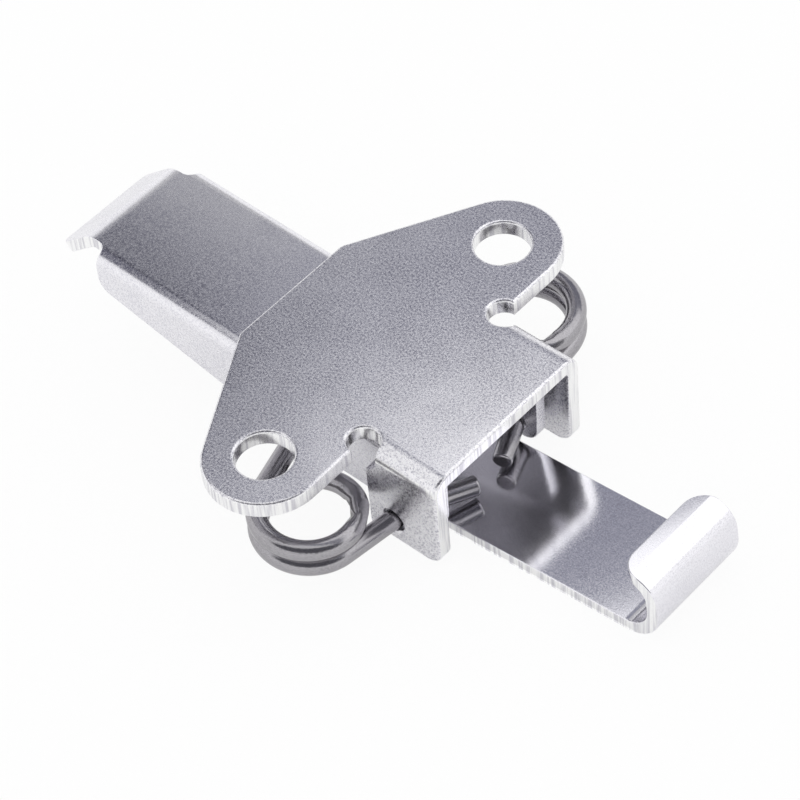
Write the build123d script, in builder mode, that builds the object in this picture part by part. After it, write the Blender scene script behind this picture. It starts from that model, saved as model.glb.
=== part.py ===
# Spring-loaded over-centre latch: a folded mounting plate, a channel lever, a hooked claw
# and two mirrored torsion springs whose legs are the hinge pins.
#
# Frame: +X towards the hook, +Y to the left, +Z out of the mounting face.
# The origin is midway between the two mounting holes, on the mounting face.
# All pieces stand in the closed position.
import os
from math import atan2, cos, pi, radians, sin, sqrt, tan

from build123d import *

# Stock
plate_sheet = 1.6
lever_sheet = 1.25
claw_sheet = 1.25
wire_diameter = 1.9

# Mounting plate, seen from above
hole_spacing = 32.0
mounting_hole_diameter = 5.3
ear_radius = 5.6
plate_back_length = 11.5
plate_back_width = 15.0
plate_back_corner = 0.9
plate_front_length = 14.0

# Mounting plate flanges
channel_width = 19.5
flange_depth = 11.0
flange_setback = 0.3
flange_front_corner = 1.6
flange_back_corner = 0.8
plate_bend_inside = 0.15
relief_radius = 1.5
relief_offset = 0.05
relief_reach = 0.05
neutral_line_share = 0.44

# Torsion springs
coil_radius = 4.5
coil_pitch = 1.97
coil_whole_turns = 1
coil_center_y = 15.0
front_leg_lean = 5.0
back_leg_lean = 14.0
front_leg_kick = 20.0
kick_bend_radius = 2.0
front_leg_end_gap = 3.4
back_leg_end_gap = 6.6
wire_end_round = 0.25

# Lever pivot: the front spring legs in the plate's flanges
pivot_x = 8.55
pivot_depth = 8.6

# Clearances
pivot_clearance = 0.28
leg_clearance = 0.14
lever_side_gap = 0.9
lever_stop_gap = 0.25
claw_side_gap = 0.4

# Lever, lengths measured back from the pivot along its web
lever_tilt = 1.2
lever_bend_outside = 1.4
lever_arm_front = 3.4
lever_arm_below = 1.75
lever_arm_corner = 1.7
lever_arm_top_corner = 2.2
lever_length = 38.4
lever_end_depth = 4.2
lever_end_corner = 1.6
lever_heel_back = 16.2
lever_heel_radius = 12.0
lever_window_back = 18.0
lever_window_corner = 1.2
spring_travel = 3.0

# Finger lip: runs and rises measured from the flange ends along the top face
lip_inset = 0.2
lip_root_radius = 1.0
lip_notch_radius = 0.8
lip_bend_run = 2.25
lip_bend_radius = 3.0
lip_tip = (6.5, -3.8)
lip_corner = 1.0

# Claw, lengths measured forward from its pivot along the strip
claw_tilt = 5.6
claw_reach = 38.3
claw_seat_depth = 7.5
hook_height = 7.75
hook_lower_radius = 4.0
hook_upper_radius = 2.65
hook_tab_length = 4.0
hook_tab_corner = 2.2
claw_ear_radius = 2.0
claw_ear_inset = 0.1
claw_ear_bend_inside = 0.4
claw_ear_root_back = 0.6
claw_ear_root_front = 7.5

# Widths across the latch, each piece nested in the one outside it
wire_radius = wire_diameter / 2
hole_y = hole_spacing / 2
plate_outer = channel_width / 2
plate_inner = plate_outer - plate_sheet
plate_mid = plate_outer - plate_sheet / 2
plate_bend_outside = plate_bend_inside + plate_sheet
plate_flat = plate_outer - plate_bend_outside
lever_outer = plate_inner - lever_side_gap
lever_inner = lever_outer - lever_sheet
lever_mid = lever_outer - lever_sheet / 2
lip_half_width = lever_outer - lever_bend_outside - lip_inset
claw_half = lever_inner - claw_side_gap
claw_ear_outer = claw_half - claw_ear_inset
claw_ear_mid = claw_ear_outer - claw_sheet / 2
kick_y = (plate_inner + lever_outer) / 2

# The right-hand wire: a helix whose ends run on along its own slope
wire_slope = coil_pitch / (2 * pi * coil_radius)
coil_turns = coil_whole_turns + 0.5 - (front_leg_lean + back_leg_lean) / 360
lean_in = radians(front_leg_lean)
lean_out = radians(back_leg_lean)
kick_lean = radians(front_leg_lean + front_leg_kick)
coil_front_y = coil_center_y + coil_radius * sin(lean_in)
coil_back_y = coil_center_y + coil_radius * sin(lean_out)
pivot_run = (coil_front_y - plate_mid) / cos(lean_in)
coil_center_x = pivot_x - coil_radius * cos(lean_in) - pivot_run * sin(lean_in)
coil_low_z = wire_slope * pivot_run - pivot_depth
coil_high_z = coil_low_z + coil_pitch * coil_turns


def front_leg(y, lean=lean_in, start=None):
    # Point of the right-hand front leg at the distance y from the middle of the latch.
    if start is None:
        start = Vector(coil_center_x + coil_radius * cos(lean_in), -coil_front_y, coil_low_z)
    run = (-start.Y - y) / cos(lean)
    return start + Vector(run * sin(lean), run * cos(lean), -run * wire_slope)


def back_leg(y):
    # Point of the right-hand back leg at the distance y from the middle of the latch.
    start = Vector(coil_center_x - coil_radius * cos(lean_out), -coil_back_y, coil_high_z)
    run = (coil_back_y - y) / cos(lean_out)
    return start + Vector(-run * sin(lean_out), run * cos(lean_out), run * wire_slope)


kick_point = front_leg(kick_y)
arm_point = front_leg(lever_mid, kick_lean, kick_point)
lever_slot_point = back_leg(lever_mid)
claw_pivot = back_leg(claw_ear_mid)


def leg_hole_length(sheet, lean):
    # Width that a leaning wire takes up in a hole punched square through a sheet.
    return wire_diameter / cos(lean) + sheet * tan(lean) + 2 * leg_clearance


# Lever and claw stand on planes of their own: local X along the web or strip, local Y upwards
lever_slant = radians(lever_tilt)
lever_forward = Vector(cos(lever_slant), 0, -sin(lever_slant))
lever_side = Plane(origin=(pivot_x, 0, -pivot_depth), x_dir=lever_forward, z_dir=(0, -1, 0))
plate_back_edge = lever_side.to_local_coords(Vector(-plate_back_length, 0, -plate_sheet))
web_top = plate_back_edge.Y - lever_stop_gap
lever_web = Plane(lever_side.from_local_coords(Vector(0, web_top, 0)), lever_forward, lever_side.y_dir)
lip_bend = atan2(-lip_tip[1], lip_tip[0] - lip_bend_run)
lip_flat = lip_bend_run - lip_bend_radius * tan(lip_bend / 2)
lever_back = -lever_length - lip_flat
lever_section = Plane(lever_side.from_local_coords(Vector(lever_back, 0, 0)), (0, 1, 0), lever_forward)

claw_slant = radians(claw_tilt)
claw_forward = Vector(cos(claw_slant), 0, sin(claw_slant))
claw_side = Plane(origin=(claw_pivot.X, 0, claw_pivot.Z), x_dir=claw_forward, z_dir=(0, -1, 0))
strip_top = -claw_seat_depth
strip_bottom = strip_top - claw_sheet
hook_mid = strip_bottom + hook_height / 2
claw_plan = Plane(claw_side.from_local_coords(Vector(0, hook_mid, 0)), claw_forward, claw_side.y_dir)
claw_section = Plane(claw_side.from_local_coords(Vector(-claw_ear_radius, 0, 0)), (0, 1, 0), claw_forward)

# Mounting plate: a folded channel in front, then ears and tapered back as the hull of four rounds
flange_back_x = ear_radius + flange_setback
relief_x = ear_radius + relief_offset
relief_half_chord = sqrt(relief_radius**2 - (flange_back_x - relief_x) ** 2)
relief_y = plate_flat - relief_reach + relief_half_chord
bend_length = pi / 2 * (plate_bend_inside + neutral_line_share * plate_sheet)
relief_z = bend_length - plate_bend_outside - (relief_y - plate_flat)
back_round_x = plate_back_corner - plate_back_length
back_round_y = plate_back_width / 2 - plate_back_corner

with BuildPart() as mounting_plate:
    with BuildSketch(Plane((flange_back_x, 0, 0), (0, 1, 0), (1, 0, 0))) as plate_channel:
        with BuildLine():
            FilletPolyline(
                (-plate_outer, -flange_depth),
                (-plate_outer, 0),
                (plate_outer, 0),
                (plate_outer, -flange_depth),
                radius=plate_bend_outside,
            )
            offset(amount=plate_sheet, side=Side.RIGHT)
        make_face()
    extrude(amount=plate_front_length - flange_back_x)
    flange_ends = mounting_plate.edges().filter_by(Axis.Y).group_by(Axis.Z)[0].group_by(Axis.X)
    fillet(flange_ends[-1], radius=flange_front_corner)
    flange_ends = mounting_plate.edges().filter_by(Axis.Y).group_by(Axis.Z)[0].group_by(Axis.X)
    fillet(flange_ends[0], radius=flange_back_corner)
    for side in (1, -1):
        with BuildLine() as relief_path:
            Polyline(
                (relief_x, side * relief_y, plate_sheet),
                (relief_x, side * relief_y, relief_z),
                (relief_x, side * (relief_y + 2 * relief_radius), relief_z),
            )
        with BuildSketch(Plane.XY.offset(plate_sheet)):
            with Locations((relief_x, side * relief_y)):
                Circle(relief_radius)
        sweep(path=relief_path.wire(), transition=Transition.RIGHT, mode=Mode.SUBTRACT)
    with BuildSketch() as plate_plan:
        with Locations((0, hole_y), (0, -hole_y)):
            Circle(ear_radius)
        with Locations((back_round_x, back_round_y), (back_round_x, -back_round_y)):
            Circle(plate_back_corner)
        make_hull()
        with Locations((flange_back_x / 2, 0)):
            Rectangle(flange_back_x, 2 * relief_y)
        with Locations((relief_x, relief_y), (relief_x, -relief_y)):
            Circle(relief_radius, mode=Mode.SUBTRACT)
    extrude(amount=-plate_sheet)
    with BuildSketch(Plane.XZ):
        with Locations((pivot_x, -pivot_depth)):
            Circle(wire_radius + pivot_clearance)
    extrude(amount=channel_width, both=True, mode=Mode.SUBTRACT)
    with Locations((0, hole_y), (0, -hole_y)):
        Hole(mounting_hole_diameter / 2)

# Lever: a channel trimmed to its side view, a window for the claw, slots for the wire, a finger lip
arm_slot_length = leg_hole_length(lever_sheet, kick_lean)
back_slot_length = leg_hole_length(lever_sheet, lean_out) + spring_travel
slot_height = wire_diameter + 2 * leg_clearance + lever_sheet * wire_slope
lip_start = Vector(-lever_length, web_top)

with BuildPart() as lever:
    with BuildSketch(lever_section) as lever_channel:
        with BuildLine():
            FilletPolyline(
                (-lever_outer, -lever_arm_below),
                (-lever_outer, web_top),
                (lever_outer, web_top),
                (lever_outer, -lever_arm_below),
                radius=lever_bend_outside,
            )
            offset(amount=lever_sheet, side=Side.RIGHT)
        make_face()
    extrude(amount=lever_arm_front - lever_back)
    with BuildSketch(lever_side) as lever_outline:
        with BuildLine():
            FilletPolyline(
                (lever_arm_front, web_top),
                (lever_arm_front, -lever_arm_below),
                (-lever_heel_back, -lever_arm_below),
                (-lever_length, web_top - lever_end_depth),
                (-lever_length, web_top - lever_bend_outside),
                (lever_back, web_top - lever_bend_outside),
                (lever_back, web_top),
                radius=(
                    lever_arm_top_corner,
                    lever_arm_corner,
                    lever_heel_radius,
                    lever_end_corner,
                    lip_notch_radius,
                    0,
                    0,
                ),
                close=True,
            )
        make_face()
    extrude(amount=channel_width, both=True, mode=Mode.INTERSECT)
    with BuildSketch(lever_web) as lever_window:
        window_length = lever_window_back + lever_arm_front + lever_window_corner
        with Locations((window_length / 2 - lever_window_back, 0)):
            RectangleRounded(window_length, 2 * lever_inner, lever_window_corner)
        for side in (1, -1):
            with Locations((lip_start.X - lever_length / 2, side * (lip_half_width + lever_outer / 2))):
                RectangleRounded(lever_length, lever_outer, lip_root_radius)
    extrude(amount=-2 * lever_sheet, mode=Mode.SUBTRACT)
    with BuildSketch(lever_side) as lip_profile:
        with BuildLine():
            FilletPolyline(
                lip_start,
                lip_start + Vector(-lip_bend_run, 0),
                lip_start + Vector(-lip_tip[0], lip_tip[1]),
                radius=lip_bend_radius,
            )
            offset(amount=lever_sheet, side=Side.LEFT)
        make_face()
    extrude(amount=lip_half_width, both=True)
    lip_ends = lever.faces().sort_by(Axis.X)[0].edges().sort_by(SortBy.LENGTH)[:2]
    fillet(lip_ends, radius=lip_corner)
    with BuildSketch(Plane.XZ) as wire_slots:
        with Locations((arm_point.X, arm_point.Z)):
            SlotOverall(arm_slot_length, slot_height)
        with Locations((lever_slot_point.X + spring_travel / 2, lever_slot_point.Z)):
            SlotOverall(back_slot_length, slot_height)
    extrude(amount=channel_width, both=True, mode=Mode.SUBTRACT)

# Claw: two upturned ears on the wire, then the strip that ends in the hook
ear_root = claw_sheet + claw_ear_bend_inside
ear_root_length = claw_ear_root_front - claw_ear_root_back
hook_tip = claw_reach - hook_tab_length

with BuildPart() as claw:
    with BuildSketch(claw_section) as claw_fork:
        with BuildLine():
            FilletPolyline(
                (-claw_ear_outer, claw_ear_radius),
                (-claw_ear_outer, strip_bottom),
                (claw_ear_outer, strip_bottom),
                (claw_ear_outer, claw_ear_radius),
                radius=claw_ear_bend_inside + claw_sheet,
            )
            offset(amount=claw_sheet, side=Side.LEFT)
        make_face()
    extrude(amount=claw_ear_radius + claw_ear_root_front)
    with BuildSketch(claw_side) as claw_ear:
        Circle(claw_ear_radius)
        with Locations((claw_ear_root_back + ear_root_length / 2, strip_bottom + ear_root / 2)):
            Rectangle(ear_root_length, ear_root)
        make_hull()
    extrude(amount=channel_width, both=True, mode=Mode.INTERSECT)
    with BuildSketch(claw_side) as claw_strip:
        with BuildLine():
            FilletPolyline(
                (claw_ear_root_front, strip_bottom),
                (claw_reach, strip_bottom),
                (claw_reach, strip_bottom + hook_height),
                (hook_tip, strip_bottom + hook_height),
                radius=(hook_lower_radius, hook_upper_radius),
            )
            offset(amount=claw_sheet, side=Side.LEFT)
        make_face()
    extrude(amount=claw_half, both=True)
    with BuildSketch(claw_plan) as hook_corners:
        for side in (1, -1):
            with Locations((hook_tip, side * claw_half)):
                Rectangle(2 * hook_tab_corner, 2 * hook_tab_corner)
        for side in (1, -1):
            with Locations((hook_tip + hook_tab_corner, side * (claw_half - hook_tab_corner))):
                Circle(hook_tab_corner, mode=Mode.SUBTRACT)
    extrude(amount=hook_height, mode=Mode.SUBTRACT)
    with BuildSketch(claw_side) as claw_pin_hole:
        Circle(leg_hole_length(claw_sheet, lean_out) / 2)
    extrude(amount=channel_width, both=True, mode=Mode.SUBTRACT)

# Springs: one wire swept along back leg, coil and kicked front leg, and its mirror image
coil_axis = Axis((coil_center_x, -coil_center_y, 0), (0, 0, 1))
front_end = front_leg(front_leg_end_gap / 2, kick_lean, kick_point)

with BuildPart() as right_torsion_spring:
    with BuildLine() as wire_path:
        coil = Helix(
            pitch=coil_pitch,
            height=coil_pitch * coil_turns,
            radius=coil_radius,
            center=(coil_center_x, -coil_center_y, coil_low_z),
            lefthand=True,
            mode=Mode.PRIVATE,
        )
        add(coil.rotate(coil_axis, -front_leg_lean))
        FilletPolyline(front_leg(coil_front_y), kick_point, front_end, radius=kick_bend_radius)
        Line(back_leg(coil_back_y), back_leg(back_leg_end_gap / 2))
    with BuildSketch(Plane(front_end, z_dir=front_end - kick_point)):
        Circle(wire_radius)
    sweep(path=wire_path.wire())
    wire_ends = right_torsion_spring.faces().filter_by(GeomType.PLANE).edges()
    fillet(wire_ends, radius=wire_end_round)

with BuildPart() as left_torsion_spring:
    mirror(right_torsion_spring.part, about=Plane.XZ)

# One file per piece
os.makedirs("parts", exist_ok=True)
pieces = {
    "mounting_plate": mounting_plate,
    "lever": lever,
    "claw": claw,
    "right_torsion_spring": right_torsion_spring,
    "left_torsion_spring": left_torsion_spring,
}
for name, piece in pieces.items():
    piece.part.label = name
    export_step(piece.part, f"parts/{name}.step")
print(f"lever pivot: x {pivot_x:.3f}, z {-pivot_depth:.3f}")
print(f"claw pivot: x {claw_pivot.X:.3f}, z {claw_pivot.Z:.3f}")
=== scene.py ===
from math import radians

import bpy
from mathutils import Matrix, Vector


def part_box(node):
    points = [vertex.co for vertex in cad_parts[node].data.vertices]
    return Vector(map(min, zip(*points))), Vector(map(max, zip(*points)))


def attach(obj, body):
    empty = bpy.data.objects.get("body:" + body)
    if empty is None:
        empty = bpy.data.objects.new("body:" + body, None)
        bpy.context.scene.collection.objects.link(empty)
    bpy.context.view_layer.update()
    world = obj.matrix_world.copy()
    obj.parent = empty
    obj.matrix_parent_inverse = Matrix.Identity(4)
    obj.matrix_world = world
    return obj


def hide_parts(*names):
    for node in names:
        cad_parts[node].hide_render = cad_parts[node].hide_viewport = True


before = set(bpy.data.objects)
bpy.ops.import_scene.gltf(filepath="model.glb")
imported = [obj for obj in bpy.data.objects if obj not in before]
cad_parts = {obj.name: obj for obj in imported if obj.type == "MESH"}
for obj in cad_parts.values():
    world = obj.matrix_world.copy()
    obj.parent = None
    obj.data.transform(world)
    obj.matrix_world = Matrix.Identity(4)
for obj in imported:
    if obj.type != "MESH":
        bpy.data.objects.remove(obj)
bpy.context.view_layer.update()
print("frame loaded:", sorted(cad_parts))

mm = 0.001


def linear(hexColour):
    # sRGB hex to the linear values that Blender works in
    parts = [int(hexColour[i:i + 2], 16) / 255 for i in (1, 3, 5)]
    return tuple(p / 12.92 if p <= 0.04045 else ((p + 0.055) / 1.055) ** 2.4 for p in parts) + (1.0,)


def addNode(tree, kind, settings=None, links=None):
    # settings: a property name or an input's name or number; links: input to output socket
    node = tree.nodes.new(kind)
    for key, value in (settings or {}).items():
        if isinstance(key, str) and hasattr(node, key):
            setattr(node, key, value)
        else:
            node.inputs[key].default_value = value
    for key, socket in (links or {}).items():
        tree.links.new(socket, node.inputs[key])
    return node


def newMaterial(name):
    material = bpy.data.materials.new(name)
    material.use_nodes = True
    material.node_tree.nodes.clear()
    return material, material.node_tree


# places in metres, turn in degrees, lens and sensor in mm
camera = {
    "place": (0.140173, -0.136686, 0.215171),
    "turn": (41.2325, 3.6414, 41.0780),
    "lens": 147.735,
    "sensor": 36.0,
    "shift": (-0.013125, -0.003260),
    "nearest": 0.01,
}


def setCamera():
    data = bpy.data.cameras.new("photoCamera")
    data.lens = camera["lens"]
    data.sensor_width = camera["sensor"]
    data.shift_x, data.shift_y = camera["shift"]
    data.clip_start = camera["nearest"]
    eye = bpy.data.objects.new("photoCamera", data)
    eye.location = camera["place"]
    eye.rotation_euler = [radians(a) for a in camera["turn"]]
    bpy.context.scene.collection.objects.link(eye)
    bpy.context.scene.camera = eye


setCamera()
print("camera set")

# what the steels share: fine specks over wide clouds, with lengths in mm
plating = {
    "octaves": 4.0,
    "crispness": 0.8,
    "speck": (0.38, 0.62),
    "cloud": 5.0,
    "cloudOctaves": 3.0,
    "cloudShare": 0.6,
    "stops": (0.15, 1.0),
    "depth": 0.02,
}


def steelSurface(tree, look, stops, tone, height):
    # the metal that a pattern of tones and a pattern of heights end in
    ramp = addNode(tree, "ShaderNodeValToRGB", links={"Fac": tone})
    for stop, position, colour in zip(ramp.color_ramp.elements, stops, (look["deep"], look["pale"])):
        stop.position = position
        stop.color = linear(colour)
    bump = addNode(tree, "ShaderNodeBump", {"Strength": look["bump"], "Distance": plating["depth"] * mm},
                   {"Height": height})
    steel = addNode(tree, "ShaderNodeBsdfPrincipled", {"Metallic": 1.0, "Roughness": look["rough"]},
                    {"Base Color": ramp.outputs["Color"], "Normal": bump.outputs["Normal"]})
    addNode(tree, "ShaderNodeOutputMaterial", links={"Surface": steel.outputs["BSDF"]})
    return steel


def sheetSteel(name, look):
    material, tree = newMaterial(name)
    place = addNode(tree, "ShaderNodeTexCoord")
    grain = addNode(tree, "ShaderNodeTexNoise",
                    {"Scale": 1 / (look["grain"] * mm), "Detail": plating["octaves"],
                     "Roughness": plating["crispness"]},
                    {"Vector": place.outputs["Object"]})
    cloud = addNode(tree, "ShaderNodeTexNoise",
                    {"Scale": 1 / (plating["cloud"] * mm), "Detail": plating["cloudOctaves"]},
                    {"Vector": place.outputs["Object"]})
    low, high = plating["speck"]
    speck = addNode(tree, "ShaderNodeMapRange", {"From Min": low, "From Max": high},
                    {"Value": grain.outputs["Fac"]})
    tone = addNode(tree, "ShaderNodeMath", {"operation": "MULTIPLY_ADD", 1: plating["cloudShare"]},
                   {0: cloud.outputs["Fac"], 2: speck.outputs["Result"]})
    steel = steelSurface(tree, look, plating["stops"], tone.outputs["Value"], grain.outputs["Fac"])
    rough = addNode(tree, "ShaderNodeMapRange",
                    {"To Min": look["rough"] - look["roughSpread"],
                     "To Max": look["rough"] + look["roughSpread"]},
                    {"Value": speck.outputs["Result"]})
    tree.links.new(rough.outputs["Result"], steel.inputs["Roughness"])
    return material


def shearedSteel(name, look):
    material, tree = newMaterial(name)
    place = addNode(tree, "ShaderNodeTexCoord")
    across, along = 1 / (look["streak"] * mm), 1 / (look["run"] * mm)
    run = addNode(tree, "ShaderNodeMapping", {"Scale": (across, across, along)},
                  {"Vector": place.outputs["Object"]})
    streak = addNode(tree, "ShaderNodeTexNoise", {"Scale": 1.0, "Detail": look["octaves"]},
                     {"Vector": run.outputs["Vector"]})
    steelSurface(tree, look, look["stops"], streak.outputs["Fac"], streak.outputs["Fac"])
    return material


# lengths in mm, angles in degrees
edgeBreak = {"weld": 0.005, "flat": 0.05, "sharp": 40, "segments": 3, "smooth": 35, "faceWeight": 100}


def inZone(spot, zone):
    # a zone's limits are along x, outwards from the middle along y, and along z
    return all(low < value < high for value, (low, high) in zip((spot.x, abs(spot.y), spot.z), zone))


def breakEdges(piece, sheet):
    # loose triangles become whole faces, then the sharp edges outside the tight zones are rounded
    if piece.data.has_custom_normals:
        bpy.ops.mesh.customdata_custom_splitnormals_clear()
    bpy.ops.object.mode_set(mode="EDIT")
    bpy.ops.mesh.select_all(action="SELECT")
    bpy.ops.mesh.remove_doubles(threshold=edgeBreak["weld"] * mm)
    bpy.ops.mesh.dissolve_limited(angle_limit=radians(edgeBreak["flat"]))
    bpy.ops.mesh.select_all(action="DESELECT")
    bpy.ops.mesh.select_mode(type="EDGE")
    bpy.ops.mesh.edges_select_sharp(sharpness=radians(edgeBreak["sharp"]))
    bpy.ops.object.mode_set(mode="OBJECT")
    share = piece.data.attributes.new("bevel_weight_edge", "FLOAT", "EDGE")
    for edge in piece.data.edges:
        start, end = (piece.data.vertices[i].co for i in edge.vertices)
        middle = (start + end) / 2 / mm
        isTight = any(inZone(middle, zone) for zone in sheet["tight"])
        share.data[edge.index].value = float(edge.select and not isTight)
    bevel = piece.modifiers.new("edgeBreak", "BEVEL")
    bevel.limit_method = "WEIGHT"
    bevel.width = sheet["rounding"] * mm
    bevel.segments = edgeBreak["segments"]
    bevel.use_clamp_overlap = False
    bevel.loop_slide = False  # sliding along a shallow edge folds the flat face over
    bpy.ops.object.modifier_apply(modifier="edgeBreak")
    bpy.ops.object.shade_smooth_by_angle(angle=radians(edgeBreak["smooth"]))
    weighted = piece.modifiers.new("flatFaces", "WEIGHTED_NORMAL")
    weighted.keep_sharp = True
    weighted.weight = edgeBreak["faceWeight"]
    bpy.ops.object.modifier_apply(modifier="flatFaces")


def finishedCopy(nodeName, body, pieceName, sheet, steel, isCut):
    # isCut says which faces are sheared edges, from a face's normal and its middle in mm
    bpy.ops.object.select_all(action="DESELECT")
    piece = bpy.data.objects.new(pieceName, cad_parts[nodeName].data.copy())
    bpy.context.scene.collection.objects.link(piece)
    bpy.context.view_layer.objects.active = piece
    piece.select_set(True)
    breakEdges(piece, sheet)
    piece.data.materials.clear()
    piece.data.materials.append(steel)
    piece.data.materials.append(edgeSteel)
    for face in piece.data.polygons:
        face.material_index = int(isCut(face.normal, face.center / mm))
    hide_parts(nodeName)
    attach(piece, body)


# lengths of the pieces in mm; grain is the size of the plating's specks, really about 0.05 mm,
# drawn coarser so that it shows at this distance; edges in a tight zone have no room for the
# rounding and stay sharp
far = 100  # beyond every piece
facing = 0.9  # a normal's share along an axis from which its face counts as facing that way

# sheared edge: bright burnish with streaks across the thickness
cutEdge = {
    "deep": "#d9d8de", "pale": "#ffffff", "stops": (0.35, 0.55),
    "streak": 0.32, "run": 6.0, "octaves": 2.0,
    "rough": 0.22, "bump": 0.15,
}
edgeSteel = shearedSteel("shearedSheetEdge", cutEdge)

# tumbled plating: a dull grey face with a lilac cast and salt-and-pepper specks,
# reflections only as soft shades
plate = {
    "deep": "#a5a4b0", "pale": "#fdfcff", "grain": 0.20,
    "rough": 0.28, "roughSpread": 0.08, "bump": 0.40,
    "rounding": 0.30,
    "tight": (
        ((-far, 7.4), (7.6, far), (-5, -0.3)),  # back ends of the bends
        ((-far, 6.3), (7.6, far), (-far, -0.3)),  # back edges of the flanges
    ),
    "standing": 0.35,  # a face that stands up has less of its normal along z than this
    "rimFrom": -1.7,  # the plate's rim lies above this, its flanges below
}
plateSteel = sheetSteel("tumbledZincPlatedSheet", plate)


def isPlateCut(normal, spot):
    isStanding = abs(normal.z) < plate["standing"]
    return isStanding and (abs(normal.x) > facing or spot.z > plate["rimFrom"])


finishedCopy("mounting_plate", "base", "plateSheet", plate, plateSteel, isPlateCut)

# satin plating: calmer than the plate, soft-edged shades along the bends,
# fine sparkle where it is dark
lever = {
    "deep": "#d1d0d9", "pale": "#f9f8fc", "grain": 0.20,
    "rough": 0.28, "roughSpread": 0.08, "bump": 0.15,
    "rounding": 0.12,
    "tight": (
        ((-31, far), (5.45, 6.25), (-3.34, -2.54)),  # inside of the bends
        ((10.4, 11.6), (6.2, 7.2), (-3.2, far)),  # roots of the front arms
    ),
    "lipFrom": -30.2,  # the lip lies behind this
    "tipBack": -0.6, "tipDown": -0.3,  # the lip's end faces back and down by more than these
}
leverSteel = sheetSteel("satinZincPlatedSheet", lever)


def isLeverCut(normal, spot):
    isTip = normal.x < lever["tipBack"] and normal.z < lever["tipDown"]
    return spot.x < lever["lipFrom"] and (abs(normal.y) > facing or isTip)


finishedCopy("lever", "lever", "leverSheet", lever, leverSteel, isLeverCut)

# bright rolled sheet: nearly a mirror, so the wire ends and the plate's rim show in it
claw = {
    "deep": "#dbdae1", "pale": "#f5f4f9", "grain": 0.14,
    "rough": 0.13, "roughSpread": 0.05, "bump": 0.08,
    "rounding": 0.12,
    "tight": (((3.8, 5.2), (3.5, far), (-far, -10.8)),),  # where the ears leave the strip
    "stripFrom": 4,  # the strip lies in front of this
}
clawSteel = sheetSteel("brightRolledSheet", claw)


def isClawCut(normal, spot):
    return abs(normal.y) > facing and spot.x > claw["stripFrom"]


finishedCopy("claw", "claw", "clawSheet", claw, clawSteel, isClawCut)

# drawn spring wire: smooth and darker, dark and light bands follow the turns
wire = {
    "deep": "#908e92", "pale": "#b2b0b4", "grain": 0.10,
    "rough": 0.20, "roughSpread": 0.04, "bump": 0.04,
}
wireSteel = sheetSteel("satinDrawnWire", wire)
for nodeName in ("right_torsion_spring", "left_torsion_spring"):
    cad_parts[nodeName].material_slots[0].material = wireSteel
print("pieces finished")

# floor: lies along the claw's underside, which is what the latch rests on
# the open lever swings below it, so the eye looks through it to the white room
floorLook = {"tilt": -5.6, "colour": "#f4f4f4", "size": 3.0, "shareInView": 0.93, "shareInMetal": 0.35}


def makeFloor():
    bpy.ops.mesh.primitive_plane_add(size=floorLook["size"], location=(0, 0, 0))
    floor = bpy.context.active_object
    floor.name = "paleFloor"
    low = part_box("claw")[0]
    floor.rotation_euler = (0, radians(floorLook["tilt"]), 0)
    floor.location = (low.x, 0, low.z)
    material, tree = newMaterial("palePaper")
    diffuse = addNode(tree, "ShaderNodeBsdfDiffuse", {"Color": linear(floorLook["colour"])})
    white = addNode(tree, "ShaderNodeEmission", {"Color": (1, 1, 1, 1), "Strength": 1.0})
    ray = addNode(tree, "ShaderNodeLightPath")
    mirrored = addNode(tree, "ShaderNodeMath", {"operation": "MAXIMUM"},
                       {0: ray.outputs["Is Glossy Ray"], 1: ray.outputs["Is Transmission Ray"]})
    inMetal = addNode(tree, "ShaderNodeMath", {"operation": "MULTIPLY", 1: floorLook["shareInMetal"]},
                      {0: mirrored.outputs["Value"]})
    inView = addNode(tree, "ShaderNodeMath", {"operation": "MULTIPLY", 1: floorLook["shareInView"]},
                     {0: ray.outputs["Is Camera Ray"]})
    clear = addNode(tree, "ShaderNodeBsdfTransparent")
    paper = addNode(tree, "ShaderNodeMixShader",
                    links={0: inMetal.outputs["Value"], 1: diffuse.outputs["BSDF"],
                           2: white.outputs["Emission"]})
    mix = addNode(tree, "ShaderNodeMixShader",
                  links={0: inView.outputs["Value"], 1: paper.outputs["Shader"],
                         2: clear.outputs["BSDF"]})
    addNode(tree, "ShaderNodeOutputMaterial", links={"Surface": mix.outputs["Shader"]})
    floor.data.materials.append(material)


def makeWorld():
    world = bpy.data.worlds.new("whiteRoom")
    world.use_nodes = True
    tree = world.node_tree
    tree.nodes.clear()
    back = addNode(tree, "ShaderNodeBackground", {"Color": (1, 1, 1, 1), "Strength": 1.0})
    addNode(tree, "ShaderNodeOutputWorld", links={"Surface": back.outputs["Background"]})
    bpy.context.scene.world = world


makeFloor()
makeWorld()
print("floor and room set")

# studio cards: out of sight, they only show in the metal
# lengths in metres; a pair is where a soft step on the scrim starts and ends
scrim = {
    "place": (-0.0344, 0.0701, 0.055),
    "size": (0.22, 0.148),
    "grey": "#92939f",
    "dark": "#3a3a46",
    "shadeAlong": (-0.015, -0.009),
    "shadeAcross": (-0.047, -0.032),
    "leverAlong": (-0.016, -0.024),
    "leverAcross": (-0.034, -0.027),
    "leverLight": 0.55,
    "lightSide": (0.79, -0.61, 0.0),
    "lightFrom": (0.0315, 0.0355),
    "lightNear": (-0.060, -0.056),
    "light": 1.25,
}
opening = {
    "name": "cameraOpening", "distance": 0.36, "radius": 0.17, "corners": 48, "wide": 2.4,
    "colour": "#66666c", "strength": 1.0,
}
flag = {
    "name": "nearFlag", "place": (-0.0774, -0.0229, 0.055), "turn": (0, 0, 0), "size": (0.063, 0.066),
    "colour": "#62626f", "strength": 1.0,
}
softbox = {
    "name": "hookSoftbox", "place": (0.155, 0.118, 0.180), "turn": (0, 40, 37), "size": (0.17, 0.17),
    "colour": "#ffffff", "strength": 1.25,
}


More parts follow.
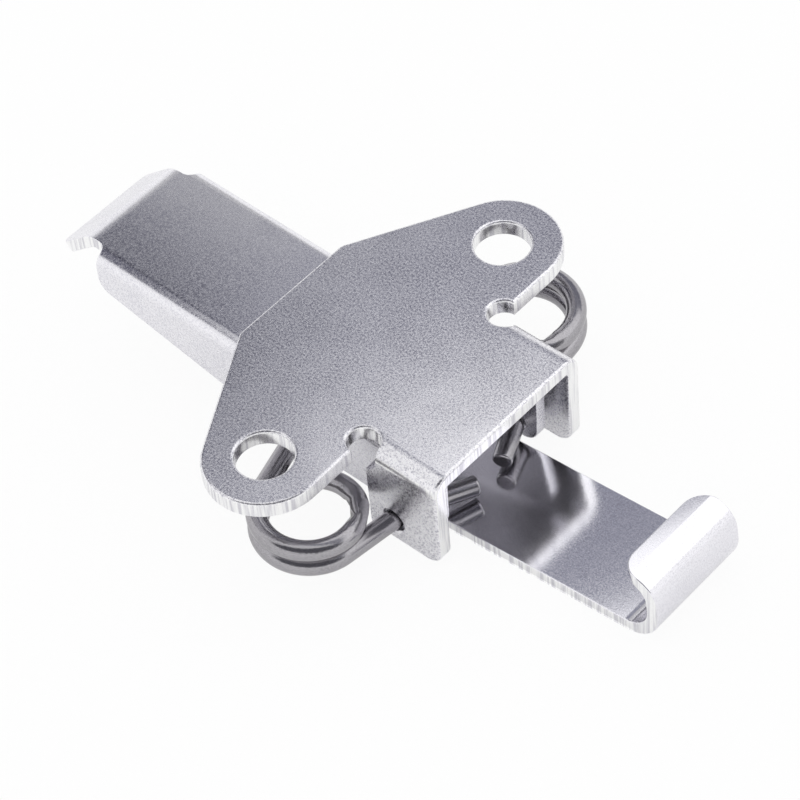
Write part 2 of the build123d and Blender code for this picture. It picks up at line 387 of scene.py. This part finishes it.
def hideFromCamera(card):
    card.visible_camera = False
    card.visible_diffuse = False
    card.visible_shadow = False
    card.visible_transmission = False


def makeScrim():
    bpy.ops.mesh.primitive_plane_add(size=1.0, location=scrim["place"])
    card = bpy.context.active_object
    card.name = "greyScrim"
    card.scale = (*scrim["size"], 1)
    bpy.ops.object.transform_apply(location=False, rotation=False, scale=True)
    material, tree = newMaterial("greyScrim")
    place = addNode(tree, "ShaderNodeTexCoord")
    axis = addNode(tree, "ShaderNodeSeparateXYZ", links={"Vector": place.outputs["Object"]})
    toLight = addNode(tree, "ShaderNodeVectorMath", {"operation": "DOT_PRODUCT", 1: scrim["lightSide"]},
                      {0: place.outputs["Object"]})
    step = {}
    for name, way in (("shadeAlong", axis.outputs["X"]), ("shadeAcross", axis.outputs["Y"]),
                      ("leverAlong", axis.outputs["X"]), ("leverAcross", axis.outputs["Y"]),
                      ("lightFrom", toLight.outputs["Value"]), ("lightNear", axis.outputs["Y"])):
        start, end = scrim[name]
        ramp = addNode(tree, "ShaderNodeMapRange",
                       {"From Min": start, "From Max": end, "interpolation_type": "SMOOTHSTEP"},
                       {"Value": way})
        step[name] = ramp.outputs["Result"]
    shaded = addNode(tree, "ShaderNodeMath", {"operation": "MAXIMUM"},
                     {0: step["shadeAlong"], 1: step["shadeAcross"]})
    shade = addNode(tree, "ShaderNodeMix",
                    {"data_type": "RGBA", 6: linear(scrim["dark"]), 7: linear(scrim["grey"])},
                    {0: shaded.outputs["Value"]})
    # the card's two lighter parts
    for along, across, light in (("leverAlong", "leverAcross", "leverLight"),
                                 ("lightFrom", "lightNear", "light")):
        lit = addNode(tree, "ShaderNodeMath", {"operation": "MULTIPLY"}, {0: step[along], 1: step[across]})
        shade = addNode(tree, "ShaderNodeMix", {"data_type": "RGBA", 7: (scrim[light],) * 3 + (1,)},
                        {0: lit.outputs["Value"], 6: shade.outputs[2]})
    glow = addNode(tree, "ShaderNodeEmission", {"Strength": 1.0}, {"Color": shade.outputs[2]})
    addNode(tree, "ShaderNodeOutputMaterial", links={"Surface": glow.outputs["Emission"]})
    card.data.materials.append(material)
    hideFromCamera(card)


def glowingCard(look):
    card = bpy.context.active_object
    card.name = look["name"]
    material, tree = newMaterial(look["name"])
    glow = addNode(tree, "ShaderNodeEmission",
                   {"Color": linear(look["colour"]), "Strength": look["strength"]})
    addNode(tree, "ShaderNodeOutputMaterial", links={"Surface": glow.outputs["Emission"]})
    card.data.materials.append(material)
    hideFromCamera(card)
    return card


def makeOpening():
    eye = bpy.context.scene.camera
    bpy.ops.mesh.primitive_circle_add(vertices=opening["corners"], radius=opening["radius"],
                                      fill_type="NGON", rotation=eye.rotation_euler)
    card = glowingCard(opening)
    card.location = eye.location.normalized() * opening["distance"]
    card.scale = (opening["wide"], 1, 1)


def makeCard(look):
    bpy.ops.mesh.primitive_plane_add(size=1.0, location=look["place"],
                                     rotation=[radians(a) for a in look["turn"]])
    card = glowingCard(look)
    card.scale = (*look["size"], 1)


makeScrim()
makeOpening()
makeCard(flag)
makeCard(softbox)
print("stage cards set")
bpy.context.scene.view_settings.view_transform = "Standard"

print("scene ready")
